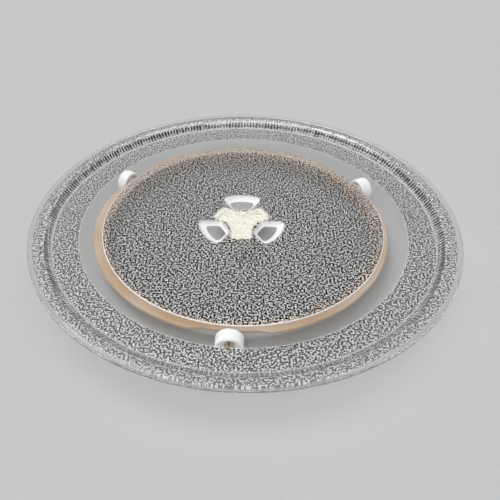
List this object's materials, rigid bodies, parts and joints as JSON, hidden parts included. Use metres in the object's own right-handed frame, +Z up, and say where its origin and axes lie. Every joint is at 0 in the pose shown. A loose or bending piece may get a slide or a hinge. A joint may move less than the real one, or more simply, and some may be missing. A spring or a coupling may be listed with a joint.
{
  "type": "microwave turntable with roller ring",
  "caption": "Clear pressed glass turntable with a ribbed, upturned rim, on a flat roller ring whose wheels clip on to split pins, turned by a lobed drive coupler under its centre.",
  "frame": {"origin": "on the floor that the wheels stand on, on the glass plate's axis", "axes": "+Z up along the axis that the plate turns about; the front wheel lies near -Y"},
  "size_m": [0.245, 0.245, 0.0231],
  "materials": {
    "clear_glass": "clear pressed glass with a stippled underside",
    "tan_plastic": "satin moulded",
    "white_plastic": "smooth moulded",
    "cream_plastic": "satin moulded"
  },
  "bodies": {
    "ring": {"roller_ring": "tan_plastic"},
    "turntable": {"glass_turntable": "clear_glass", "drive_coupler": "cream_plastic"},
    "front_wheel": {"wheel_1": "white_plastic"},
    "right_wheel": {"wheel_2": "white_plastic"},
    "left_wheel": {"wheel_3": "white_plastic"}
  },
  "joints": [
    {"name": "turntable_turn", "type": "hinge", "parent": "ring", "child": "turntable", "pos_m": [0, 0, 0.01465], "axis": [0, 0, 1], "continuous": true},
    {"name": "front_wheel_spin", "type": "hinge", "parent": "ring", "child": "front_wheel", "pos_m": [-0.00497, -0.08598, 0.0072], "axis": [-0.0401, -0.9992, 0], "continuous": true},
    {"name": "right_wheel_spin", "type": "hinge", "parent": "ring", "child": "right_wheel", "pos_m": [0.07744, 0.04439, 0.0072], "axis": [0.8854, 0.4648, 0], "continuous": true},
    {"name": "left_wheel_spin", "type": "hinge", "parent": "ring", "child": "left_wheel", "pos_m": [-0.07667, 0.05058, 0.0072], "axis": [-0.8453, 0.5344, 0], "continuous": true}
  ],
  "couplings": [
    {"joint": "front_wheel_spin", "follows": "turntable_turn", "ratio": -11.96},
    {"joint": "right_wheel_spin", "follows": "turntable_turn", "ratio": -12.39},
    {"joint": "left_wheel_spin", "follows": "turntable_turn", "ratio": -12.755}
  ]
}
